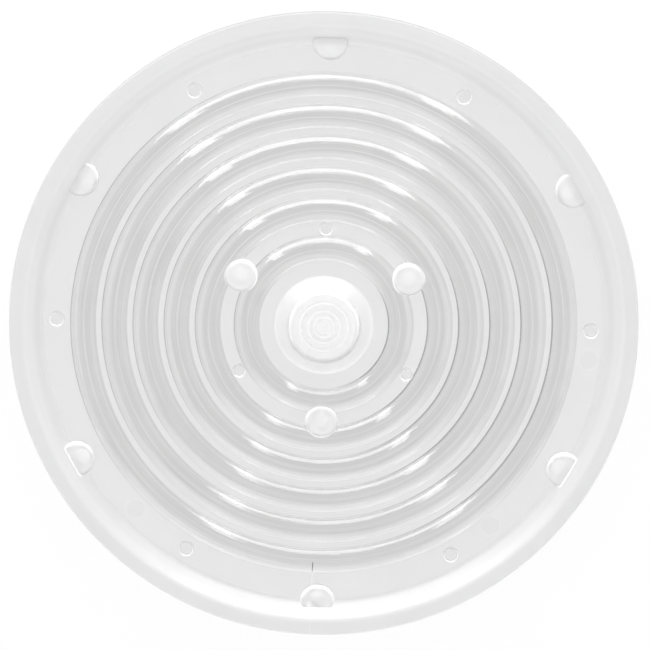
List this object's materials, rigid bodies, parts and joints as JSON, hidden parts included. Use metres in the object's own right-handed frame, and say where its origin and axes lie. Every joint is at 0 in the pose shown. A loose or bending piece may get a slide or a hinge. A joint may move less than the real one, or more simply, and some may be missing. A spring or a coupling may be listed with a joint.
{
  "type": "led high bay lens",
  "caption": "Round clear moulded lens for a high bay lamp: ring lenses on a dished plate with screw domes, a raised cap and a clamping flange.",
  "frame": {"origin": "centre of the back face, which lies on the LED board", "axes": "+Z along the optical axis, towards the side where the light leaves; +X through one of the outer ejector marks"},
  "size_m": [0.28, 0.28, 0.0101],
  "materials": {
    "clear_plastic": "clear polycarbonate with a moulded gloss"
  },
  "bodies": {
    "root": {"lens": "clear_plastic"}
  },
  "joints": []
}
